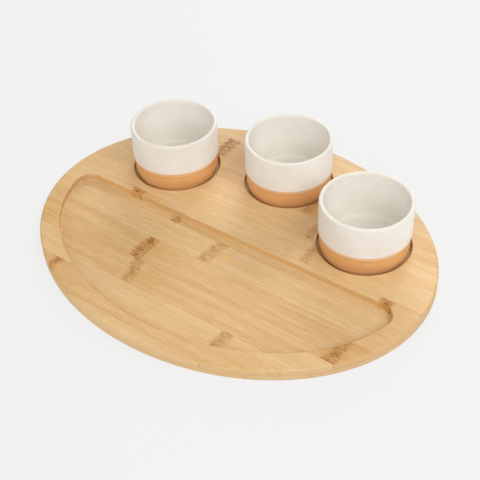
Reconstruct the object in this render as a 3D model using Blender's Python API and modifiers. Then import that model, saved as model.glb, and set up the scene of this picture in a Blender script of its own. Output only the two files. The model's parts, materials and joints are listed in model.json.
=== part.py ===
"""Chip and dip server: an oval bamboo board with a D-shaped tray, and three bowls that stand in round wells.

The board is two plies of glued bamboo staves. The tray and the wells are cut right through the top ply,
so the bottom ply is their floor, and a stave that a cut-out crosses becomes two or more pieces.
Each bowl is a turned clay body with a glaze coat over its inside, its rim and the upper part of its outside.

The frame: origin at the board's centre on its underside, +X along the board, +Y from the tray to the wells,
+Z up. Lengths are in metres.
"""

import math

import bmesh
import bpy

# Driving dimensions.
BOARD_LENGTH = 0.400
BOARD_WIDTH = 0.320
PLY_THICKNESS = 0.0065
ARRIS_RADIUS = 0.002
STAVE_WIDTH = 0.030
TOP_SEAM_Y = 0.0015
GAP = 0.0003

TRAY_HALF_LENGTH = 0.183
TRAY_HALF_WIDTH = 0.139
TRAY_STRAIGHT_Y = -0.005
TRAY_CORNER_RADIUS = 0.015

WELL_RADIUS = 0.0444
SIDE_WELL_X = 0.111
SIDE_WELL_Y = 0.055
MIDDLE_WELL_Y = 0.0955

BOWL_RADIUS = 0.0432
BOWL_HEIGHT = 0.0577
BOWL_WALL = 0.0041
INSIDE_TAPER = 0.0007
INSIDE_FLOOR = 0.0064
INSIDE_FILLET = 0.004
GLAZE_LINE = 0.0238
GLAZE_THICKNESS = 0.0005
FOOT_INSET = 0.0043
FOOT_RING_WIDTH = 0.005
FOOT_RECESS = 0.0015

# Worked out from them.
STAVE_HALF_GAP = GAP / 2
BOTTOM_PLY = (0.0, PLY_THICKNESS - STAVE_HALF_GAP)
TOP_PLY = (PLY_THICKNESS + STAVE_HALF_GAP, 2 * PLY_THICKNESS)
BOTTOM_SEAM_Y = TOP_SEAM_Y - STAVE_WIDTH / 2
BOWL_BASE_Z = BOTTOM_PLY[1] + GAP
WELLS = {
    "left": (-SIDE_WELL_X, SIDE_WELL_Y),
    "middle": (0.0, MIDDLE_WELL_Y),
    "right": (SIDE_WELL_X, SIDE_WELL_Y),
}
SUFFIXES = {
    1: [""],
    2: ["_left", "_right"],
    3: ["_left", "_middle", "_right"],
    4: ["_outer_left", "_inner_left", "_inner_right", "_outer_right"],
}

# The tone of each row of staves, front row first.
BOTTOM_TONES = (
    "honey", "light", "honey", "honey", "light", "light", "amber", "honey", "light", "honey", "amber",
)
TOP_TONES = (
    "light", "honey", "light", "amber", "honey", "light", "light", "light", "honey", "light", "light", "honey",
)

# How finely round shapes are cut into facets.
OVAL_SEGMENTS = 112
WELL_SEGMENTS = 60
TRAY_ARC_POINTS = 56
CORNER_POINTS = 6
ARRIS_SEGMENTS = 2
BOWL_STEPS = 40
FILLET_STEPS = 3
RIM_STEPS = 4
FOOT_STEPS = 5
CORNER_HALVINGS = 60
WELD_DISTANCE = 0.000001
AXIS_WELD_DISTANCE = 0.00001
OVERSHOOT = 0.005


def remove_everything():
    for item in list(bpy.data.objects):
        bpy.data.objects.remove(item, do_unlink=True)


def make_collection(name):
    collection = bpy.data.collections.new(name)
    bpy.context.scene.collection.children.link(collection)
    return collection


def make_material(name, colour, roughness):
    material = bpy.data.materials.new(name)
    material.use_nodes = True
    shader = material.node_tree.nodes["Principled BSDF"]
    shader.inputs["Base Color"].default_value = (*colour, 1.0)
    shader.inputs["Roughness"].default_value = roughness
    shader.inputs["Metallic"].default_value = 0.0
    return material


def mesh_object(name, mesh, collection, material=None):
    item = bpy.data.objects.new(name, mesh)
    collection.objects.link(item)
    if material:
        mesh.materials.append(material)
    return item


def as_mesh(name, shape):
    """Turn a bmesh into mesh data."""
    mesh = bpy.data.meshes.new(name)
    shape.to_mesh(mesh)
    shape.free()
    return mesh


def make_cutter(item):
    item.display_type = "WIRE"
    item.hide_render = True
    return item


def box_mesh(name, low, high):
    """A box between two opposite corners."""
    shape = bmesh.new()
    bmesh.ops.create_cube(shape, size=1.0)
    for vertex in shape.verts:
        for axis in range(3):
            vertex.co[axis] = low[axis] + (vertex.co[axis] + 0.5) * (high[axis] - low[axis])
    return as_mesh(name, shape)


def oval_slab(name, floor, ceiling, rounded_face):
    """An elliptical slab the size of the board, with the arris of one face rounded."""
    shape = bmesh.new()
    bmesh.ops.create_cone(shape, cap_ends=True, segments=OVAL_SEGMENTS, radius1=1.0, radius2=1.0, depth=1.0)
    for vertex in shape.verts:
        vertex.co.x *= BOARD_LENGTH / 2
        vertex.co.y *= BOARD_WIDTH / 2
        vertex.co.z = ceiling if vertex.co.z > 0 else floor
    arris = [edge for edge in shape.edges if all(abs(v.co.z - rounded_face) < GAP / 2 for v in edge.verts)]
    bmesh.ops.bevel(
        shape, geom=arris, offset=ARRIS_RADIUS, segments=ARRIS_SEGMENTS, profile=0.5, affect="EDGES"
    )
    return as_mesh(name, shape)


def cylinder_mesh(name, centre, radius, floor, ceiling):
    shape = bmesh.new()
    bmesh.ops.create_cone(
        shape, cap_ends=True, segments=WELL_SEGMENTS, radius1=radius, radius2=radius, depth=ceiling - floor
    )
    bmesh.ops.translate(shape, verts=shape.verts, vec=(centre[0], centre[1], (floor + ceiling) / 2))
    return as_mesh(name, shape)


def tray_corner():
    """The right corner's centre, and the direction in which its arc meets the ellipse.

    The centre lies one corner radius inside the ellipse and one below the straight edge.
    """
    low, high = -math.pi / 2, 0.0
    for _ in range(CORNER_HALVINGS):
        angle = (low + high) / 2
        normal = math.atan2(TRAY_HALF_LENGTH * math.sin(angle), TRAY_HALF_WIDTH * math.cos(angle))
        centre_x = TRAY_HALF_LENGTH * math.cos(angle) - TRAY_CORNER_RADIUS * math.cos(normal)
        centre_y = TRAY_HALF_WIDTH * math.sin(angle) - TRAY_CORNER_RADIUS * math.sin(normal)
        if centre_y < TRAY_STRAIGHT_Y - TRAY_CORNER_RADIUS:
            low = angle
        else:
            high = angle
    return centre_x, centre_y, normal, angle


def arc(centre_x, centre_y, radius, start, end, steps):
    """Points on an arc, both ends included."""
    angles = [start + (end - start) * step / steps for step in range(steps + 1)]
    return [(centre_x + radius * math.cos(a), centre_y + radius * math.sin(a)) for a in angles]


def tray_outline():
    """The D: a straight edge, two round corners and an arc of an ellipse."""
    centre_x, centre_y, normal, angle = tray_corner()
    right = arc(centre_x, centre_y, TRAY_CORNER_RADIUS, math.pi / 2, normal, CORNER_POINTS)
    left = [(-x, y) for x, y in reversed(right)]
    front = []
    for step in range(1, TRAY_ARC_POINTS):
        turn = angle + (-math.pi - 2 * angle) * step / TRAY_ARC_POINTS
        front.append((TRAY_HALF_LENGTH * math.cos(turn), TRAY_HALF_WIDTH * math.sin(turn)))
    return right + front + left


def outline_mesh(name, points, floor, ceiling):
    """A flat outline extruded between two heights, as welded mesh data."""
    curve = bpy.data.curves.new(name, "CURVE")
    curve.dimensions = "2D"
    curve.fill_mode = "BOTH"
    curve.extrude = (ceiling - floor) / 2
    spline = curve.splines.new("POLY")
    spline.points.add(len(points) - 1)
    for point, (x, y) in zip(spline.points, points):
        point.co = (x, y, 0.0, 1.0)
    spline.use_cyclic_u = True
    guide = bpy.data.objects.new(name, curve)
    guide.location.z = (floor + ceiling) / 2
    bpy.context.scene.collection.objects.link(guide)
    bpy.context.view_layer.update()
    evaluated = guide.evaluated_get(bpy.context.evaluated_depsgraph_get())
    mesh = bpy.data.meshes.new_from_object(evaluated)
    mesh.transform(guide.matrix_world)
    bpy.data.objects.remove(guide, do_unlink=True)
    shape = bmesh.new()
    shape.from_mesh(mesh)
    bmesh.ops.remove_doubles(shape, verts=shape.verts, dist=WELD_DISTANCE)
    bmesh.ops.recalc_face_normals(shape, faces=shape.faces)
    bpy.data.meshes.remove(mesh)
    return as_mesh(name, shape)


def boolean(item, operation, other):
    modifier = item.modifiers.new(f"{operation.lower()}_{other.name}", "BOOLEAN")
    modifier.operation = operation
    modifier.object = other
    modifier.solver = "EXACT"


def stave_rows(seam):
    """The front and back of each stave, front row first, where one seam lies at y = seam."""
    first = math.ceil((-BOARD_WIDTH / 2 - seam) / STAVE_WIDTH)
    last = math.floor((BOARD_WIDTH / 2 - seam) / STAVE_WIDTH)
    seams = [seam + index * STAVE_WIDTH for index in range(first, last + 1)]
    edges = [-BOARD_WIDTH / 2 - OVERSHOOT] + seams + [BOARD_WIDTH / 2 + OVERSHOOT]
    return list(zip(edges[:-1], edges[1:]))


def parting_places(front, back):
    """The x of each cut-out that crosses a whole row of the top ply."""
    places = [x for x, y in WELLS.values() if y - WELL_RADIUS < front and back < y + WELL_RADIUS]
    if -TRAY_HALF_WIDTH < front and back < TRAY_STRAIGHT_Y:
        places.append(0.0)
    return sorted(places)


def add_stave(name, left, right, front, back, slab, cutters, collection, material):
    """One stave: a strip of the ply's slab, less the cut-outs."""
    low = (left, front + STAVE_HALF_GAP, -OVERSHOOT)
    high = (right, back - STAVE_HALF_GAP, 2 * PLY_THICKNESS + OVERSHOOT)
    stave = mesh_object(name, box_mesh(name, low, high), collection, material)
    boolean(stave, "INTERSECT", slab)
    for cutter in cutters:
        boolean(stave, "DIFFERENCE", cutter)


def add_board(collection, cutters_collection, wood_tones):
    bottom = make_cutter(mesh_object("bottom_ply_slab", oval_slab("bottom_ply_slab", *BOTTOM_PLY, 0.0),
                                     cutters_collection))
    top = make_cutter(mesh_object("top_ply_slab", oval_slab("top_ply_slab", *TOP_PLY, TOP_PLY[1]),
                                  cutters_collection))
    floor = BOTTOM_PLY[1] - OVERSHOOT / 2
    ceiling = TOP_PLY[1] + OVERSHOOT
    tray = outline_mesh("tray_cutter", tray_outline(), floor, ceiling)
    cutters = [make_cutter(mesh_object("tray_cutter", tray, cutters_collection))]
    for side, centre in WELLS.items():
        name = f"{side}_well_cutter"
        well = cylinder_mesh(name, centre, WELL_RADIUS, floor, ceiling)
        cutters.append(make_cutter(mesh_object(name, well, cutters_collection)))

    end = BOARD_LENGTH / 2 + OVERSHOOT
    for number, (front, back) in enumerate(stave_rows(BOTTOM_SEAM_Y), start=1):
        wood = wood_tones[BOTTOM_TONES[number - 1]]
        add_stave(f"bottom_stave_{number:02d}", -end, end, front, back, bottom, [], collection, wood)
    for number, (front, back) in enumerate(stave_rows(TOP_SEAM_Y), start=1):
        wood = wood_tones[TOP_TONES[number - 1]]
        places = [-end] + parting_places(front, back) + [end]
        spans = list(zip(places[:-1], places[1:]))
        for (left, right), suffix in zip(spans, SUFFIXES[len(spans)]):
            name = f"top_stave_{number:02d}{suffix}"
            add_stave(name, left, right, front, back, top, cutters, collection, wood)


def cup_surface(inset):
    """The bowl's surface sunk by inset, from the middle of the inside floor over the rim to the glaze line."""
    outer = BOWL_RADIUS - inset
    inner = BOWL_RADIUS - BOWL_WALL + inset
    floor_radius = inner - INSIDE_TAPER
    fillet = INSIDE_FILLET + inset
    floor = INSIDE_FLOOR - inset
    rim = (outer - inner) / 2
    rim_z = BOWL_HEIGHT - inset - rim
    points = [(0.0, floor)]
    points += arc(floor_radius - fillet, floor + fillet, fillet, -math.pi / 2, 0.0, FILLET_STEPS)
    points += arc(inner + rim, rim_z, rim, math.pi, 0.0, RIM_STEPS)
    points.append((outer, GLAZE_LINE))
    return points


def clay_profile():
    """The clay body: the surface under the glaze, then the bare band curving in to the foot ring."""
    outer = BOWL_RADIUS - GLAZE_THICKNESS - GAP
    foot = outer - FOOT_INSET
    points = cup_surface(GLAZE_THICKNESS + GAP)
    for step in range(1, FOOT_STEPS + 1):
        angle = -math.pi / 2 * step / FOOT_STEPS
        points.append((foot + FOOT_INSET * math.cos(angle), GLAZE_LINE * (1 + math.sin(angle))))
    points.append((foot - FOOT_RING_WIDTH, 0.0))
    points.append((foot - FOOT_RING_WIDTH - FOOT_RECESS, FOOT_RECESS))
    points.append((0.0, FOOT_RECESS))
    return points


def glaze_profile():
    """The glaze coat: the surface that shows, and back along the side that faces the clay."""
    return cup_surface(0.0) + cup_surface(GLAZE_THICKNESS)[::-1]


def turned_piece(name, profile, collection, material):
    """A profile in the XZ plane turned about the Z axis."""
    shape = bmesh.new()
    vertices = [shape.verts.new((x, 0.0, z)) for x, z in profile]
    for start, end in zip(vertices[:-1], vertices[1:]):
        shape.edges.new((start, end))
    item = mesh_object(name, as_mesh(name, shape), collection, material)
    turn = item.modifiers.new("turn", "SCREW")
    turn.axis = "Z"
    turn.steps = BOWL_STEPS
    turn.render_steps = BOWL_STEPS
    turn.use_merge_vertices = True
    turn.merge_threshold = AXIS_WELD_DISTANCE
    turn.use_smooth_shade = True
    return item


def add_bowl(side, centre, collection, clay, glaze):
    """A bowl on an empty that stands on its lifting axis."""
    lift = bpy.data.objects.new(f"{side}_bowl_lift", None)
    lift.location = (centre[0], centre[1], BOWL_BASE_Z)
    collection.objects.link(lift)
    body = turned_piece(f"{side}_bowl_clay_body", clay_profile(), collection, clay)
    coat = turned_piece(f"{side}_bowl_glaze_coat", glaze_profile(), collection, glaze)
    for piece in (body, coat):
        piece.parent = lift


def main():
    remove_everything()
    parts = make_collection("chip_and_dip_server")
    cutters = make_collection("cutters")
    wood_tones = {
        "light": make_material("bamboo_light", (0.71, 0.47, 0.24), 0.5),
        "honey": make_material("bamboo_honey", (0.66, 0.42, 0.20), 0.5),
        "amber": make_material("bamboo_amber", (0.62, 0.36, 0.14), 0.5),
    }
    clay = make_material("terracotta_clay", (0.62, 0.29, 0.12), 0.85)
    glaze = make_material("speckled_cream_glaze", (0.78, 0.73, 0.64), 0.4)
    add_board(parts, cutters, wood_tones)
    for side, centre in WELLS.items():
        add_bowl(side, centre, parts, clay, glaze)


main()
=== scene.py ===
# The looks of the chip and dip server: an oval bamboo board with a D-shaped tray, and three glazed clay
# bowls. Lengths are in metres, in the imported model's own frame: +X along the board, +Y from the tray to the
# bowls, +Z up.
import json
import math
import random

import bmesh
import bpy
from mathutils import Matrix, Vector


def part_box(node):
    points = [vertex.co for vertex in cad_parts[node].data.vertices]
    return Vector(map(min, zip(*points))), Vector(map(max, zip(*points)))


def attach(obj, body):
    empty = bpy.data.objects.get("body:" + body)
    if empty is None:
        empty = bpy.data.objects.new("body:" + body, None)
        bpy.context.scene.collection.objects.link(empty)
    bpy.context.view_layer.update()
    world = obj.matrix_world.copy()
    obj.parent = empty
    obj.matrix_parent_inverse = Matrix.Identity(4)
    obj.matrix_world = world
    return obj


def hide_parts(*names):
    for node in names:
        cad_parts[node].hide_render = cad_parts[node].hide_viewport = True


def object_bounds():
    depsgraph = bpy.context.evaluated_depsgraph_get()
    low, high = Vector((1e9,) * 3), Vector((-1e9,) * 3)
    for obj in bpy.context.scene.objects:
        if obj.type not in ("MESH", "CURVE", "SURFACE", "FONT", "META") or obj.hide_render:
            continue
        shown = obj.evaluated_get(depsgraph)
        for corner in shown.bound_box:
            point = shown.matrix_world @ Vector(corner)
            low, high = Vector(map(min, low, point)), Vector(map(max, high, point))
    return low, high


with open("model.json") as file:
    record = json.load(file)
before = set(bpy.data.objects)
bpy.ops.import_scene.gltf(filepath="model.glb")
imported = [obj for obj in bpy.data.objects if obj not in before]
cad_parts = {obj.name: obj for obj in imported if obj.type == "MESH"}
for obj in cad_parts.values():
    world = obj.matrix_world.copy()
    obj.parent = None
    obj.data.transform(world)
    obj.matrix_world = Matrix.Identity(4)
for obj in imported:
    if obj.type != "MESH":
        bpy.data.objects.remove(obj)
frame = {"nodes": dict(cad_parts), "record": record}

CAD_LOW, CAD_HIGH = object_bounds()
SLOTS = {part["node"]: part["material_slot"] for part in frame["record"]["subparts"]}
MM = 0.001

# The camera, as it stands in front of the board: angles in degrees, distance in metres, lens in mm.
CAMERA_AZIMUTH = 37.493
CAMERA_ELEVATION = 41.139
CAMERA_ROLL = -2.456
CAMERA_DISTANCE = 0.93898
CAMERA_TARGET = Vector((3.811 * MM, 5.846 * MM, 0.0))
CAMERA_LENS = 73.578
CAMERA_SENSOR = 36.0

# The lights, each a round soft box that faces the board: degrees round from the camera's right and up from
# the floor, light at the board in W/m2, distance and width in metres.
LIGHTS = {
    "front_light": (-80, 48, 1.98, 2.2, 2.2),
    "right_light": (-28, 46, 1.27, 1.3, 1.2),
    "left_light": (-165, 28, 0.97, 2.5, 2.2),
    "back_light": (72, 22, 1.9, 2.4, 1.5),
}
ROOM_LIGHT = 0.29
FLOOR_RADIUS = 25.0
FLOOR_THICKNESS = 0.02
FLOOR_POINTS = 64
FLOOR_GLOW = 0.76

# The board.
BOARD_HALF_LENGTH = CAD_HIGH.x
BOARD_HALF_WIDTH = CAD_HIGH.y
BOARD_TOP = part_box("top_stave_07")[1].z
PLY_JOINT = (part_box("top_stave_07")[0].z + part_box("bottom_stave_07")[1].z) / 2
ARRIS_RADIUS = 2 * MM
STAVE_WIDTH = 30 * MM
TOP_SEAM_Y = 1.5 * MM
CAD_HALF_GAP = 0.15 * MM
GLUE_HALF_GAP = 0.01 * MM

# The tray and the wells.
TRAY_HALF_LENGTH = 183 * MM
TRAY_HALF_WIDTH = 139 * MM
TRAY_STRAIGHT_Y = -5 * MM
TRAY_CORNER_RADIUS = 15 * MM
TRAY_FLOOR = PLY_JOINT - 0.2 * MM
TRAY_COVE = 1.0 * MM
TRAY_ARRIS = 0.8 * MM
WELL_RADIUS = 44.4 * MM
WELL_ARRIS = 0.6 * MM

# The bowls. Heights are from the foot. The bead is the glaze's lower edge, and its outline gives how far in
# each point is, in thicknesses of the glaze, and how far up, in heights of the bead.
SIDES = ("left", "middle", "right")
BOWL_RADIUS = 43.2 * MM
WALL = 4.1 * MM
INSIDE_TAPER = 0.7 * MM
INSIDE_FILLET = 4 * MM
INSIDE_FLOOR = 6.4 * MM
GLAZE_THICKNESS = 0.5 * MM
GLAZE_LINE = 23.8 * MM
GLAZE_BEAD = 1.2 * MM
BEAD_OUTLINE = ((0.9, 0.0), (0.45, 0.25), (0.15, 0.6), (0.0, 1.2))
FOOT_INSET = 4.3 * MM
FOOT_RING = 5 * MM
FOOT_RECESS = 1.5 * MM
GLAZE_TO_CLAY = 0.1 * MM

# How finely round shapes are made.
OVAL_POINTS = 360
TRAY_ARC_POINTS = 240
CORNER_POINTS = 24
CORNER_HALVINGS = 60
WELL_POINTS = 180
ROUNDING_STEPS = 6
BOWL_STEPS = 180
LIP_STEPS = 16
FILLET_STEPS = 10
FOOT_STEPS = 16
PROFILE_STEP = 1.2 * MM
HIDDEN_PROFILE_STEP = 2 * MM
SHARP_ANGLE = 35


# ---------------------------------------------------------------- node trees

class Nodes:
    """Adds nodes to one tree and joins them up. Any input can be a socket, a number or a tuple."""

    def __init__(self, tree):
        self.tree = tree

    def add(self, kind, *values, output=0, **settings):
        node = self.tree.nodes.new("ShaderNode" + kind)
        for name, value in settings.items():
            setattr(node, name, value)
        for index, value in enumerate(values):
            self.put(node.inputs[index], value)
        return node.outputs[output]

    def put(self, socket, value):
        if isinstance(value, bpy.types.NodeSocket):
            self.tree.links.new(value, socket)
        elif value is not None:
            socket.default_value = value

    def math(self, operation, *values):
        return self.add("Math", *values, operation=operation)

    def vector(self, operation, *values):
        return self.add("VectorMath", *values, operation=operation)

    def vector_length(self, vector):
        return self.add("VectorMath", vector, operation="LENGTH", output=1)

    def noise(self, place, scale, detail=2.0, roughness=0.5):
        return self.add("TexNoise", place, None, scale, detail, roughness)

    def ease(self, value, low, high, start=0.0, end=1.0):
        """start up to low, end from high on, and a smooth step between them."""
        return self.add("MapRange", value, low, high, start, end, interpolation_type="SMOOTHSTEP")

    def blend(self, share, first, second):
        node = self.tree.nodes.new("ShaderNodeMix")
        node.data_type = "RGBA"
        self.put(node.inputs["Factor"], share)
        self.put(node.inputs[6], first)
        self.put(node.inputs[7], second)
        return node.outputs[2]


def colour(red, green, blue):
    """An 8-bit screen colour as the linear one that a shader takes."""
    return tuple(((c / 255 + 0.055) / 1.055) ** 2.4 for c in (red, green, blue)) + (1.0,)


def new_material(name):
    """A material with its helper, its shader and the place on the object, in metres."""
    material = bpy.data.materials.new(name)
    material.use_nodes = True
    nodes = Nodes(material.node_tree)
    shader = material.node_tree.nodes["Principled BSDF"]
    place = nodes.add("TexCoord", output=3)
    return material, nodes, shader, place


def set_bump(nodes, shader, height, distance):
    bump = nodes.tree.nodes.new("ShaderNodeBump")
    bump.inputs["Distance"].default_value = distance
    nodes.put(bump.inputs["Height"], height)
    nodes.put(shader.inputs["Normal"], bump.outputs[0])


# ---------------------------------------------------------------- bamboo

# Each tone: its ground, the darker bands in it, and its fibres. All colours are 8-bit screen colours.
TONES = {
    "bamboo_light": ((217, 184, 137), (208, 171, 119), (182, 140, 82)),
    "bamboo_honey": ((214, 178, 127), (203, 162, 107), (176, 132, 74)),
    "bamboo_amber": ((212, 174, 119), (200, 156, 98), (170, 125, 66)),
}
PALE_STREAK = (228, 197, 148)
STAIN = (189, 139, 76)
DASH = (122, 67, 14)
SPOT = (216, 166, 84)
GLUE = (150, 106, 60)
END_GRAIN = (146, 98, 54)
# Painted light: a lighter, more golden colour for inner upright walls facing ±Y, for the light they catch
# from the front and from the tray floor.
PAINTED_WALL_LIGHT = (220, 172, 100)
# Painted light: a paler colour for the board's upright outer edge, for the light it gets from the pale floor
# and the front.
PAINTED_EDGE_LIGHT = (226, 192, 142)

# The cane's nodes, as dashed marks across a stave: x in mm, half width in mm, darkness, and lean.
NODE_MARKS = {
    "bottom_stave_02": [(71, 6, 0.65, 0.0)],
    "bottom_stave_03": [(-49, 6, 0.65, -0.3)],
    "bottom_stave_04": [(-60.5, 6.5, 1.1, 0.0)],
    "bottom_stave_05": [(-3, 7, 0.55, 0.1)],
    "bottom_stave_06": [(-61, 6, 0.8, 0.0)],
    "bottom_stave_08": [(96, 6, 0.7, 0.0)],
    "bottom_stave_10": [(-40, 6, 0.7, 0.0)],
    "top_stave_02": [(-111, 5, 0.88, 0.0)],
    "top_stave_04_right": [(161, 7.5, 1.0, 0.0)],
    "top_stave_06": [(-115, 7, 1.2, 0.0), (167, 6, 1.25, 0.0)],
    "top_stave_07": [(78, 5, 0.5, 0.0)],
    "top_stave_08_middle": [(64, 4.5, 0.6, 0.0)],
    "top_stave_09_inner_right": [(42, 5, 0.6, 0.0)],
    "top_stave_10_left": [(-85, 7, 1.1, 0.0)],
}

# How far the ends of a mark's dashes fade.
DASH_EDGE = 0.6 * MM

# Small amber spots: x, y, half length and half width in mm.
SPOTS = {"bottom_stave_05": [(12.5, -28, 3.2, 2.4)]}


def split_xyz(nodes, vector):
    node = nodes.tree.nodes.new("ShaderNodeSeparateXYZ")
    nodes.put(node.inputs[0], vector)
    return node.outputs


def size_of(nodes, value):
    return nodes.math("ABSOLUTE", value)


def spread_out(nodes, noise, width):
    """Noise of 0 to 1 as a shift of half the width either way."""
    return nodes.math("MULTIPLY_ADD", noise, width, -width / 2)


def streaks(nodes, place, along, across):
    """Noise drawn out along X: along and across are the streaks' length and width in millimetres."""
    stretch = (1000 / along, 1000 / across, 1000 / across)
    return nodes.noise(nodes.vector("MULTIPLY", place, stretch), 1.0, 2.0, 0.55)


def dashes(nodes, offset, y, spacing, scatter, half_length, seed):
    """Rows of short dashes along X, one row every spacing, each dash at a chance place in its row."""
    row = nodes.math("DIVIDE", y, spacing)
    chance = nodes.tree.nodes.new("ShaderNodeTexWhiteNoise")
    chance.noise_dimensions = "1D"
    nodes.put(chance.inputs["W"], nodes.math("ADD", nodes.math("FLOOR", row), seed))
    shift = spread_out(nodes, chance.outputs["Value"], 2 * scatter)
    second_chance = nodes.add("SeparateColor", chance.outputs["Color"], output=1)
    length = nodes.math("MULTIPLY_ADD", second_chance, 0.8, 0.5)
    reach = nodes.math("DIVIDE", size_of(nodes, nodes.math("ADD", offset, shift)), length)
    along = nodes.ease(reach, half_length + DASH_EDGE, half_length - DASH_EDGE)
    across = size_of(nodes, nodes.math("SUBTRACT", nodes.math("FRACT", row), 0.5))
    return nodes.math("MULTIPLY", along, nodes.ease(across, 0.46, 0.14))


def node_strokes(nodes, offset, y, moved, half_width, seed):
    """The dashes of one node of the cane: a strong set and a fainter one behind it, worn away in places."""
    third = half_width / 3 * MM
    bent = nodes.math("ADD", y, spread_out(nodes, streaks(nodes, moved, 8, 3), 2.4 * MM))
    ahead = nodes.math("ADD", offset, 1.1 * third)
    behind = nodes.math("ADD", offset, -1.2 * third)
    first = dashes(nodes, ahead, bent, 2.2 * MM, 1.2 * third, 1.5 * third, seed)
    second = dashes(nodes, behind, bent, 1.9 * MM, 1.5 * third, third, seed + 50)
    both = nodes.math("MAXIMUM", first, nodes.math("MULTIPLY", second, 0.7))
    return nodes.math("MULTIPLY", both, nodes.ease(streaks(nodes, moved, 12, 5), 0.35, 0.6, 0.35, 1.0))


def node_stain(nodes, offset, moved, half_width, darkness):
    """The stain under a node's dashes, and a faint one that trails off along +X."""
    ragged = spread_out(nodes, streaks(nodes, moved, 16, 4), 9 * MM)
    spread = size_of(nodes, nodes.math("ADD", offset, ragged))
    stain = nodes.ease(spread, (half_width + 2.5) * MM, (half_width - 1.5) * MM, 0.0, 0.8 * darkness)
    trail = nodes.math("MULTIPLY", nodes.ease(offset, -2 * MM, 4 * MM), nodes.ease(offset, 70 * MM, 8 * MM))
    return nodes.math("MAXIMUM", stain, nodes.math("MULTIPLY", trail, 0.28 * darkness))


def add_node_mark(nodes, ground, x, y, moved, mark, seed):
    """Draw one node of the cane on the ground. y is from the middle of the stave."""
    middle, half_width, darkness, lean = mark
    offset = nodes.math("MULTIPLY_ADD", y, -lean, nodes.math("SUBTRACT", x, middle * MM))
    stain = node_stain(nodes, offset, moved, half_width, darkness)
    strokes = nodes.math("MULTIPLY", node_strokes(nodes, offset, y, moved, half_width, seed), darkness)
    ground = nodes.blend(stain, ground, colour(*STAIN))
    return nodes.blend(nodes.math("MULTIPLY", strokes, 0.9), ground, colour(*DASH))


def add_spot(nodes, ground, x, y, spot):
    """Draw a soft-edged oval on the ground."""
    middle_x, middle_y, half_length, half_width = (value * MM for value in spot)
    along = nodes.math("DIVIDE", nodes.math("SUBTRACT", x, middle_x), half_length)
    across = nodes.math("DIVIDE", nodes.math("SUBTRACT", y, middle_y), half_width)
    reach = nodes.vector_length(nodes.add("CombineXYZ", along, across, 0.0))
    return nodes.blend(nodes.math("MULTIPLY", nodes.ease(reach, 1.3, 0.7), 0.85), ground, colour(*SPOT))


def swayed(nodes, place, draw):
    """The place on the object, moved by chance so that no two staves match, with a slow bend in it."""
    moved = nodes.vector("ADD", place, Vector([draw.uniform(-5, 5) for _ in range(3)]))
    bend = nodes.noise(nodes.vector("MULTIPLY", moved, (9, 3, 3)), 1.0, 1.0)
    sway = nodes.add("CombineXYZ", 0.0, spread_out(nodes, bend, 2 * MM), 0.0)
    return nodes.vector("ADD", moved, sway)


def plain_wood(nodes, moved, tone, lines, threads):
    """Bands and patches of two tones, darker fibres, and a few pale streaks."""
    pale, band, fibre = (colour(*c) for c in TONES[tone])
    bands = streaks(nodes, moved, 260, 9)
    patches = streaks(nodes, moved, 80, 10)
    ground = nodes.blend(nodes.ease(bands, 0.35, 0.7, 0.1, 0.85), pale, band)
    ground = nodes.blend(nodes.ease(patches, 0.42, 0.66, 0.0, 0.7), ground, band)
    ground = nodes.blend(nodes.ease(lines, 0.42, 0.72, 0.0, 0.15), ground, fibre)
    ground = nodes.blend(nodes.ease(threads, 0.4, 0.66, 0.0, 0.38), ground, fibre)
    return nodes.blend(nodes.ease(lines, 0.48, 0.3, 0.0, 0.16), ground, colour(*PALE_STREAK))


def add_end_grain_and_painted_light(nodes, ground, place, facing, upright):
    """Darker end grain, and painted light: golden on inner walls facing ±Y, paler on the outer edge."""
    ends = nodes.ease(size_of(nodes, facing[0]), 0.4, 0.95, 0.0, 0.2)
    ground = nodes.blend(ends, ground, colour(*END_GRAIN))
    oval = (BOARD_HALF_LENGTH, BOARD_HALF_WIDTH, 1.0)
    outer = nodes.ease(nodes.vector_length(nodes.vector("DIVIDE", place, oval)), 0.95, 0.97)
    inner = nodes.math("SUBTRACT", 1.0, outer)
    # Painted light on the inner upright walls that face ±Y.
    along = nodes.math("MULTIPLY", inner, nodes.ease(size_of(nodes, facing[1]), 0.8, 0.98, 0.0, 0.5))
    ground = nodes.blend(nodes.math("MULTIPLY", upright, along), ground, colour(*PAINTED_WALL_LIGHT))
    # Painted light on the upright outer edge.
    edge_light = nodes.math("MULTIPLY", nodes.math("MULTIPLY", upright, outer), 0.45)
    return nodes.blend(edge_light, ground, colour(*PAINTED_EDGE_LIGHT))


def add_glue_lines(nodes, ground, y, z, upright, seam_y):
    """A fine line along each seam, and one round the board's edge between the plies."""
    phase = nodes.math("FRACT", nodes.math("DIVIDE", nodes.math("SUBTRACT", y, seam_y), STAVE_WIDTH))
    to_seam = nodes.math("SUBTRACT", 0.5, size_of(nodes, nodes.math("SUBTRACT", phase, 0.5)))
    seam = nodes.ease(to_seam, 0.5 * MM / STAVE_WIDTH, 0.1 * MM / STAVE_WIDTH, 0.0, 0.25)
    to_joint = size_of(nodes, nodes.math("SUBTRACT", z, PLY_JOINT))
    joint = nodes.math("MULTIPLY", upright, nodes.ease(to_joint, 0.35 * MM, 0.1 * MM, 0.0, 0.3))
    return nodes.blend(nodes.math("MAXIMUM", seam, joint), ground, colour(*GLUE))


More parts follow.
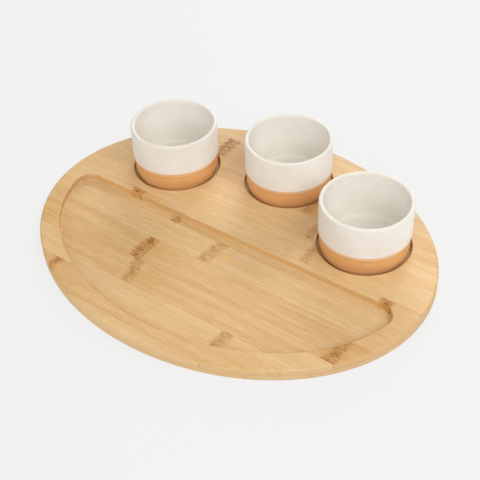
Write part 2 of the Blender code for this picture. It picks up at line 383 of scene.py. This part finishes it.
def bamboo(name, tone, seed, middle_y, seam_y):
    """The bamboo of one stave. middle_y is the stave's middle, and seam_y lies on a seam of its ply."""
    material, nodes, shader, place = new_material(name)
    draw = random.Random(seed)
    moved = swayed(nodes, place, draw)
    lines = streaks(nodes, moved, 65, 2.1)
    threads = streaks(nodes, moved, 11, 0.55)
    ground = plain_wood(nodes, moved, tone, lines, threads)

    x, y, z = split_xyz(nodes, place)
    from_middle = nodes.math("SUBTRACT", y, middle_y)
    for number, mark in enumerate(NODE_MARKS.get(name, [])):
        mark_seed = 100 * number + draw.randint(0, 40)
        ground = add_node_mark(nodes, ground, x, from_middle, moved, mark, mark_seed)
    for spot in SPOTS.get(name, []):
        ground = add_spot(nodes, ground, x, y, spot)

    facing = split_xyz(nodes, nodes.add("TexCoord", output=1))
    upright = nodes.ease(size_of(nodes, facing[2]), 0.8, 0.3)
    ground = add_end_grain_and_painted_light(nodes, ground, place, facing, upright)
    ground = add_glue_lines(nodes, ground, y, z, upright, seam_y)
    nodes.put(shader.inputs["Base Color"], ground)
    worked = nodes.ease(size_of(nodes, facing[2]), 0.98, 0.85, 0.0, 0.25)
    sanded = nodes.ease(lines, 0.2, 0.8, 0.44, 0.56)
    nodes.put(shader.inputs["Roughness"], nodes.math("ADD", sanded, worked))
    shader.inputs["Specular IOR Level"].default_value = 0.45
    set_bump(nodes, shader, nodes.math("MULTIPLY_ADD", threads, -0.5, lines), 0.04 * MM)
    return material


# ---------------------------------------------------------------- clay and glaze

CLAY = (228, 176, 118)
CLAY_RING = (214, 156, 98)
CLAY_CLOUD = (214, 158, 100)
CLAY_GRIT = (160, 100, 56)
CLAY_LINE = (196, 134, 82)
CLAY_WASH = (236, 188, 132)

GLAZE_INSIDE = (237, 232, 223)
GLAZE_OUTSIDE = (235, 233, 228)
GLAZE_CLOUD = (224, 219, 210)
GLAZE_MOTTLE = (216, 210, 199)
GLAZE_FINE_SPECK = (168, 146, 118)
GLAZE_LARGE_SPECK = (134, 108, 82)
# Painted shade: darker on the rim's top, to tone down the light that the up-facing lip catches.
GLAZE_RIM_SHADE = (216, 208, 194)
# Painted shade: darker on the up-facing floor deep inside each bowl.
GLAZE_FLOOR_SHADE = (208, 203, 193)
GLAZE_THIN = (222, 184, 146)


def terracotta(name, glaze_line):
    """Bare clay, turned on a wheel: fine grit and rings, and a dark line with a pale wash above it."""
    material, nodes, shader, place = new_material(name)
    z = split_xyz(nodes, place)[2]
    rings = nodes.noise(nodes.vector("MULTIPLY", place, (14, 14, 700)), 1.0, 3.0, 0.6)
    grit = nodes.noise(place, 2600.0, 3.0, 0.6)
    cloud = nodes.noise(place, 60.0, 2.0)
    ground = nodes.blend(nodes.ease(rings, 0.3, 0.7), colour(*CLAY), colour(*CLAY_RING))
    ground = nodes.blend(nodes.ease(cloud, 0.4, 0.7, 0.0, 0.4), ground, colour(*CLAY_CLOUD))
    ground = nodes.blend(nodes.ease(grit, 0.55, 0.75, 0.0, 0.25), ground, colour(*CLAY_GRIT))
    below = nodes.math("SUBTRACT", glaze_line, z)
    starts = nodes.ease(below, 2.2 * MM, 2.9 * MM)
    ends = nodes.ease(below, 4.2 * MM, 3.2 * MM)
    line = nodes.math("MULTIPLY", nodes.math("MULTIPLY", starts, ends), 0.45)
    ground = nodes.blend(line, ground, colour(*CLAY_LINE))
    ground = nodes.blend(nodes.ease(below, 2.9 * MM, 2.1 * MM, 0.0, 0.7), ground, colour(*CLAY_WASH))
    nodes.put(shader.inputs["Base Color"], ground)
    nodes.put(shader.inputs["Roughness"], nodes.ease(grit, 0.3, 0.7, 0.72, 0.9))
    set_bump(nodes, shader, nodes.math("MULTIPLY_ADD", rings, 1.5, grit), 0.06 * MM)
    return material


def specks(nodes, place, spacing, largest, blur):
    """Round specks of mixed sizes, one to a cell: 1 in a speck and 0 outside."""
    cells = nodes.tree.nodes.new("ShaderNodeTexVoronoi")
    nodes.put(cells.inputs["Vector"], place)
    cells.inputs["Scale"].default_value = 1 / spacing
    size = nodes.add("SeparateColor", cells.outputs["Color"])
    radius = nodes.ease(size, 0.55, 1.0, 0.0, largest / spacing)
    gap = nodes.math("SUBTRACT", radius, cells.outputs["Distance"])
    return nodes.ease(gap, -blur / spacing, blur / spacing)


def speckled_glaze(name, centre, glaze_line, top):
    """Satin cream glaze with brown specks, thin at its lower edge; painted shade on the rim and inside floor.
    """
    material, nodes, shader, place = new_material(name)
    z = split_xyz(nodes, place)[2]
    cloud = nodes.noise(place, 45.0, 3.0)
    mottle = nodes.noise(place, 420.0, 3.0, 0.6)
    from_axis = nodes.vector("MULTIPLY", nodes.vector("SUBTRACT", place, centre), (1, 1, 0))
    outside = nodes.ease(nodes.vector_length(from_axis), BOWL_RADIUS - 2 * MM, BOWL_RADIUS - 1 * MM)
    ground = nodes.blend(outside, colour(*GLAZE_INSIDE), colour(*GLAZE_OUTSIDE))
    ground = nodes.blend(nodes.ease(cloud, 0.3, 0.7, 0.0, 0.5), ground, colour(*GLAZE_CLOUD))
    ground = nodes.blend(nodes.ease(mottle, 0.4, 0.75, 0.0, 0.25), ground, colour(*GLAZE_MOTTLE))
    fine = specks(nodes, place, 2.6 * MM, 0.32 * MM, 0.12 * MM)
    large = specks(nodes, place, 9.0 * MM, 0.55 * MM, 0.16 * MM)
    ground = nodes.blend(nodes.math("MULTIPLY", fine, 0.4), ground, colour(*GLAZE_FINE_SPECK))
    ground = nodes.blend(nodes.math("MULTIPLY", large, 0.45), ground, colour(*GLAZE_LARGE_SPECK))
    # Painted shade on the rim's top.
    rim_shade = nodes.ease(z, top - 2.5 * MM, top - 1.0 * MM, 0.0, 0.7)
    ground = nodes.blend(rim_shade, ground, colour(*GLAZE_RIM_SHADE))
    facing_up = nodes.ease(split_xyz(nodes, nodes.add("TexCoord", output=1))[2], 0.2, 0.9)
    # Painted shade on the up-facing floor deep inside the bowl.
    floor_shade = nodes.math("MULTIPLY", facing_up, nodes.ease(z, top - 25 * MM, top - 40 * MM))
    ground = nodes.blend(nodes.math("MULTIPLY", floor_shade, 0.8), ground, colour(*GLAZE_FLOOR_SHADE))
    low = nodes.ease(z, glaze_line + 1.4 * MM, glaze_line + 0.1 * MM, 0.0, 0.55)
    ground = nodes.blend(nodes.math("MULTIPLY", outside, low), ground, colour(*GLAZE_THIN))
    nodes.put(shader.inputs["Base Color"], ground)
    nodes.put(shader.inputs["Roughness"], nodes.ease(mottle, 0.3, 0.7, 0.48, 0.6))
    shader.inputs["Specular IOR Level"].default_value = 0.3
    set_bump(nodes, shader, nodes.math("MULTIPLY_ADD", cloud, 2.0, mottle), 0.05 * MM)
    return material


# ---------------------------------------------------------------- shapes

def make_object(name, mesh):
    item = bpy.data.objects.new(name, mesh)
    bpy.context.scene.collection.objects.link(item)
    return item


def loft(name, rings):
    """A closed body through rings of points that run anticlockwise, the lowest ring first."""
    shape = bmesh.new()
    rows = [[shape.verts.new(point) for point in ring] for ring in rings]
    for below, above in zip(rows[:-1], rows[1:]):
        for index in range(len(below)):
            after = (index + 1) % len(below)
            shape.faces.new((below[index], below[after], above[after], above[index]))
    shape.faces.new(rows[-1])
    shape.faces.new(reversed(rows[0]))
    mesh = bpy.data.meshes.new(name)
    shape.to_mesh(mesh)
    shape.free()
    return make_object(name, mesh)


def block(name, low, high):
    """A box between two corners."""
    ring = [(low[0], low[1]), (high[0], low[1]), (high[0], high[1]), (low[0], high[1])]
    return loft(name, [[(x, y, low[2]) for x, y in ring], [(x, y, high[2]) for x, y in ring]])


def carve(item, steps):
    """Apply Boolean steps, given as (operation, tool), to an object's mesh."""
    for operation, tool in steps:
        modifier = item.modifiers.new(operation, "BOOLEAN")
        modifier.operation = operation
        modifier.object = tool
        modifier.solver = "EXACT"
    bpy.context.view_layer.update()
    done = bpy.data.meshes.new_from_object(item.evaluated_get(bpy.context.evaluated_depsgraph_get()))
    item.modifiers.clear()
    old = item.data
    item.data = done
    bpy.data.meshes.remove(old)


def on_ellipse(half_length, half_width, angle, grow, z):
    """A point of an ellipse, moved out by grow."""
    out = Vector((math.cos(angle) / half_length, math.sin(angle) / half_width)).normalized()
    return half_length * math.cos(angle) + grow * out.x, half_width * math.sin(angle) + grow * out.y, z


def oval_ring(inset, z):
    """The board's outline, moved in by inset."""
    angles = [2 * math.pi * step / OVAL_POINTS for step in range(OVAL_POINTS)]
    return [on_ellipse(BOARD_HALF_LENGTH, BOARD_HALF_WIDTH, angle, -inset, z) for angle in angles]


def rounding(radius, start, end):
    """Steps round a quarter circle: how far each is in from one tangent and from the other.

    start and end are shares of the quarter, and 0 is where the circle meets the first tangent.
    """
    for step in range(ROUNDING_STEPS + 1):
        angle = math.pi / 2 * (start + (end - start) * step / ROUNDING_STEPS)
        yield radius * (1 - math.cos(angle)), radius * (1 - math.sin(angle))


def ply_slab(name, floor, ceiling, round_top):
    """One ply's oval slab with its outer arris rounded."""
    rings = []
    if round_top:
        rings.append(oval_ring(0.0, floor))
        for inset, drop in rounding(ARRIS_RADIUS, 0, 1):
            rings.append(oval_ring(inset, ceiling - drop))
    else:
        for inset, rise in rounding(ARRIS_RADIUS, 1, 0):
            rings.append(oval_ring(inset, floor + rise))
        rings.append(oval_ring(0.0, ceiling))
    return loft(name, rings)


def tray_corner():
    """The right corner's centre, and where its arc meets the ellipse."""
    low, high = -math.pi / 2, 0.0
    for _ in range(CORNER_HALVINGS):
        angle = (low + high) / 2
        normal = math.atan2(TRAY_HALF_LENGTH * math.sin(angle), TRAY_HALF_WIDTH * math.cos(angle))
        centre_x = TRAY_HALF_LENGTH * math.cos(angle) - TRAY_CORNER_RADIUS * math.cos(normal)
        centre_y = TRAY_HALF_WIDTH * math.sin(angle) - TRAY_CORNER_RADIUS * math.sin(normal)
        if centre_y < TRAY_STRAIGHT_Y - TRAY_CORNER_RADIUS:
            low = angle
        else:
            high = angle
    return centre_x, centre_y, normal, angle


def tray_ring(grow, z):
    """The tray's outline, a D, moved out by grow."""
    centre_x, centre_y, normal, join = tray_corner()
    corner = []
    reach = TRAY_CORNER_RADIUS + grow
    for step in range(CORNER_POINTS + 1):
        angle = normal + (math.pi / 2 - normal) * step / CORNER_POINTS
        corner.append((centre_x + reach * math.cos(angle), centre_y + reach * math.sin(angle), z))
    front = []
    for step in range(1, TRAY_ARC_POINTS):
        angle = -math.pi - join + (math.pi + 2 * join) * step / TRAY_ARC_POINTS
        front.append(on_ellipse(TRAY_HALF_LENGTH, TRAY_HALF_WIDTH, angle, grow, z))
    return corner + [(-x, y, z) for x, y, z in reversed(corner)] + front


def well_ring(centre, radius, z):
    angles = [2 * math.pi * step / WELL_POINTS for step in range(WELL_POINTS)]
    return [(centre[0] + radius * math.cos(a), centre[1] + radius * math.sin(a), z) for a in angles]


def tray_cutter():
    """What the router takes out for the tray: a coved foot, an upright wall and a rounded arris."""
    rings = []
    for inset, rise in rounding(TRAY_COVE, 1, 0):
        rings.append(tray_ring(-inset, TRAY_FLOOR + rise))
    for out, drop in rounding(TRAY_ARRIS, 0, 1):
        rings.append(tray_ring(out, BOARD_TOP - drop))
    rings.append(tray_ring(TRAY_ARRIS, BOARD_TOP + MM))
    return loft("tray_cutter", rings)


def well_cutter(centre):
    """What the router takes out for a well: an upright wall and a rounded arris."""
    rings = [well_ring(centre, WELL_RADIUS, PLY_JOINT - 0.5 * GLUE_HALF_GAP)]
    for out, drop in rounding(WELL_ARRIS, 0, 1):
        rings.append(well_ring(centre, WELL_RADIUS + out, BOARD_TOP - drop))
    rings.append(well_ring(centre, WELL_RADIUS + WELL_ARRIS, BOARD_TOP + MM))
    return loft("well_cutter", rings)


def finish_piece(piece, node, body, material):
    """Smooth its rounded faces, give it its material, and put it in its CAD node's place."""
    piece.data.materials.clear()
    piece.data.materials.append(material)
    piece.data.shade_smooth()
    piece.data.set_sharp_from_angle(angle=math.radians(SHARP_ANGLE))
    weighted = piece.modifiers.new("weighted_normals", "WEIGHTED_NORMAL")
    weighted.keep_sharp = True
    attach(piece, body)
    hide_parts(node)


def make_staves(prefix, slab, seam_y):
    """Cut each stave of one ply out of the finished slab, along its glue lines."""
    widen = CAD_HALF_GAP - GLUE_HALF_GAP
    for number, node in enumerate(sorted(n for n in frame["nodes"] if n.startswith(prefix))):
        low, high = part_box(node)
        front, back = low.y - widen, high.y + widen
        strip = block(node + "_bamboo", (low.x - MM, front, -MM), (high.x + MM, back, BOARD_TOP + MM))
        carve(strip, [("INTERSECT", slab)])
        material = bamboo(node, SLOTS[node], f"{prefix}{number}", (low.y + high.y) / 2, seam_y)
        finish_piece(strip, node, "board", material)


def make_board():
    """Shape each ply's slab, cut the tray and the wells out of it, and part it into staves."""
    top = ply_slab("top_ply", PLY_JOINT + GLUE_HALF_GAP, BOARD_TOP, True)
    bottom = ply_slab("bottom_ply", 0.0, PLY_JOINT - GLUE_HALF_GAP, False)
    tray = tray_cutter()
    wells = [well_cutter(centre_of(f"{side}_bowl_clay_body")) for side in SIDES]
    carve(top, [("DIFFERENCE", cutter) for cutter in [tray] + wells])
    carve(bottom, [("DIFFERENCE", tray)])
    make_staves("top_stave_", top, TOP_SEAM_Y)
    make_staves("bottom_stave_", bottom, TOP_SEAM_Y - STAVE_WIDTH / 2)
    for tool in [top, bottom, tray] + wells:
        bpy.data.objects.remove(tool)


# ---------------------------------------------------------------- bowls

def centre_of(node):
    low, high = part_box(node)
    return (low + high) / 2


def arc(centre_r, centre_z, radius, start, end, steps):
    angles = [math.radians(start + (end - start) * step / steps) for step in range(steps + 1)]
    return [(centre_r + radius * math.cos(a), centre_z + radius * math.sin(a)) for a in angles]


def revolve(name, centre, profile):
    """A closed solid of revolution. Its profile starts and ends on the axis."""
    shape = bmesh.new()
    columns = []
    foot = shape.verts.new((centre.x, centre.y, profile[0][1]))
    crown = shape.verts.new((centre.x, centre.y, profile[-1][1]))
    for step in range(BOWL_STEPS):
        angle = 2 * math.pi * step / BOWL_STEPS
        across, along = math.cos(angle), math.sin(angle)
        points = [(centre.x + r * across, centre.y + r * along, z) for r, z in profile[1:-1]]
        columns.append([shape.verts.new(point) for point in points])
    for index, column in enumerate(columns):
        after = columns[(index + 1) % BOWL_STEPS]
        shape.faces.new((foot, after[0], column[0]))
        shape.faces.new((crown, column[-1], after[-1]))
        for low in range(len(column) - 1):
            shape.faces.new((column[low], after[low], after[low + 1], column[low + 1]))
    mesh = bpy.data.meshes.new(name)
    shape.to_mesh(mesh)
    shape.free()
    return make_object(name, mesh)


def densify(points, step):
    """The same outline with points no further apart than step."""
    dense = [points[0]]
    for start, end in zip(points[:-1], points[1:]):
        length = math.dist(start, end)
        count = max(1, math.ceil(length / step))
        for part in range(1, count + 1):
            share = part / count
            dense.append(tuple(a + (b - a) * share for a, b in zip(start, end)))
    return dense


def cup_inside_and_rim(outer, top, foot, inset):
    """From the rim's outer side over the lip and down to the middle of the inside floor."""
    inner = outer - WALL + 2 * inset
    lip = (outer - inner) / 2
    floor_r = inner - INSIDE_TAPER
    floor = foot + INSIDE_FLOOR - inset
    fillet = INSIDE_FILLET + inset
    points = arc(outer - lip, top - lip, lip, 0, 180, LIP_STEPS)
    points += arc(floor_r - fillet, floor + fillet, fillet, 0, -90, FILLET_STEPS)
    points.append((0.0, floor))
    return points


def clay_profile(outer, top, foot, line):
    """The foot's recess and ring, the bare band, then under the glaze, over the rim and down inside."""
    skin = GLAZE_THICKNESS + GLAZE_TO_CLAY
    clay_r = outer - skin
    base = clay_r - FOOT_INSET
    ring_inside = base - FOOT_RING
    recess = foot + FOOT_RECESS
    profile = [(0.0, recess), (ring_inside - FOOT_RECESS, recess), (ring_inside, foot)]
    for step in range(FOOT_STEPS + 1):
        angle = math.pi / 2 * (1 - step / FOOT_STEPS)
        profile.append((base + FOOT_INSET * math.cos(angle), foot + (line - foot) * (1 - math.sin(angle))))
    profile += cup_inside_and_rim(clay_r, top - skin, foot, skin)
    return densify(profile, PROFILE_STEP)


def glaze_profile(outer, top, foot, line):
    """The side that faces the clay, and the one that shows, which thins to a bead at its lower edge."""
    inner = outer - GLAZE_THICKNESS
    back = [(inner, line)] + cup_inside_and_rim(inner, top - GLAZE_THICKNESS, foot, GLAZE_THICKNESS)
    front = [(outer - sunk * GLAZE_THICKNESS, line + rise * GLAZE_BEAD) for sunk, rise in BEAD_OUTLINE]
    front += cup_inside_and_rim(outer, top, foot, 0.0)
    return list(reversed(densify(back, HIDDEN_PROFILE_STEP))) + densify(front, PROFILE_STEP)


def make_bowl(side):
    body = f"{side}_bowl"
    clay_node, glaze_node = f"{body}_clay_body", f"{body}_glaze_coat"
    centre = centre_of(clay_node)
    glaze_low, glaze_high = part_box(glaze_node)
    outer = (glaze_high.x - glaze_low.x) / 2
    top, foot = glaze_high.z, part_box(clay_node)[0].z
    line = foot + GLAZE_LINE
    clay = revolve(f"{body}_clay", centre, clay_profile(outer, top, foot, line))
    finish_piece(clay, clay_node, body, terracotta(f"{body}_terracotta", line))
    glaze = revolve(f"{body}_glaze", centre, glaze_profile(outer, top, foot, line))
    finish_piece(glaze, glaze_node, body, speckled_glaze(f"{body}_speckled_glaze", centre, line, top))


# ---------------------------------------------------------------- floor, light and camera

def make_floor():
    """A plain pale floor that glows a little, so that it stays pale far from the lights."""
    angles = [2 * math.pi * step / FLOOR_POINTS for step in range(FLOOR_POINTS)]
    ring = [(FLOOR_RADIUS * math.cos(a), FLOOR_RADIUS * math.sin(a)) for a in angles]
    floor = loft("floor", [[(x, y, z) for x, y in ring] for z in (-FLOOR_THICKNESS, 0.0)])
    material, _, shader, _ = new_material("floor")
    shader.inputs["Base Color"].default_value = (0.1, 0.1, 0.1, 1.0)
    shader.inputs["Emission Color"].default_value = (1.0, 1.0, 1.0, 1.0)
    shader.inputs["Emission Strength"].default_value = FLOOR_GLOW
    shader.inputs["Roughness"].default_value = 0.9
    shader.inputs["Specular IOR Level"].default_value = 0.2
    floor.data.materials.append(material)


def make_light(name, around, elevation, strength, distance, size):
    """A round soft box that faces the board's middle. The columns are those of LIGHTS."""
    panel = bpy.data.lights.new(name, "AREA")
    panel.shape = "DISK"
    panel.size = size
    panel.energy = strength * math.pi * distance**2
    lamp = bpy.data.objects.new(name, panel)
    turn = math.radians(CAMERA_AZIMUTH + around)
    rise = math.radians(elevation)
    towards = Vector((math.cos(turn) * math.cos(rise), math.sin(turn) * math.cos(rise), math.sin(rise)))
    lamp.location = distance * towards
    lamp.rotation_euler = towards.to_track_quat("Z", "Y").to_euler()
    bpy.context.scene.collection.objects.link(lamp)


def make_lights():
    """The soft boxes, and a pale room round them."""
    world = bpy.data.worlds.new("studio")
    bpy.context.scene.world = world
    world.use_nodes = True
    background = world.node_tree.nodes["Background"]
    background.inputs["Color"].default_value = (1.0, 1.0, 1.0, 1.0)
    background.inputs["Strength"].default_value = ROOM_LIGHT
    for name, settings in LIGHTS.items():
        make_light(name, *settings)


def make_camera():
    azimuth, elevation = math.radians(CAMERA_AZIMUTH), math.radians(CAMERA_ELEVATION)
    back = Vector((
        math.sin(azimuth) * math.cos(elevation),
        -math.cos(azimuth) * math.cos(elevation),
        math.sin(elevation),
    ))
    right = Vector((0, 0, 1)).cross(back).normalized()
    up = back.cross(right)
    roll = Matrix.Rotation(math.radians(CAMERA_ROLL), 3, back)
    right, up = roll @ right, roll @ up
    camera = bpy.data.cameras.new("camera")
    camera.lens = CAMERA_LENS
    camera.sensor_width = CAMERA_SENSOR
    camera.clip_start = 0.01
    item = bpy.data.objects.new("camera", camera)
    turn = Matrix((right, up, back)).transposed()
    item.matrix_world = Matrix.Translation(CAMERA_TARGET + back * CAMERA_DISTANCE) @ turn.to_4x4()
    bpy.context.scene.collection.objects.link(item)
    bpy.context.scene.camera = item


make_camera()
make_lights()
make_floor()
make_board()
for bowl_side in SIDES:
    make_bowl(bowl_side)
bpy.context.scene.view_settings.view_transform = "Standard"
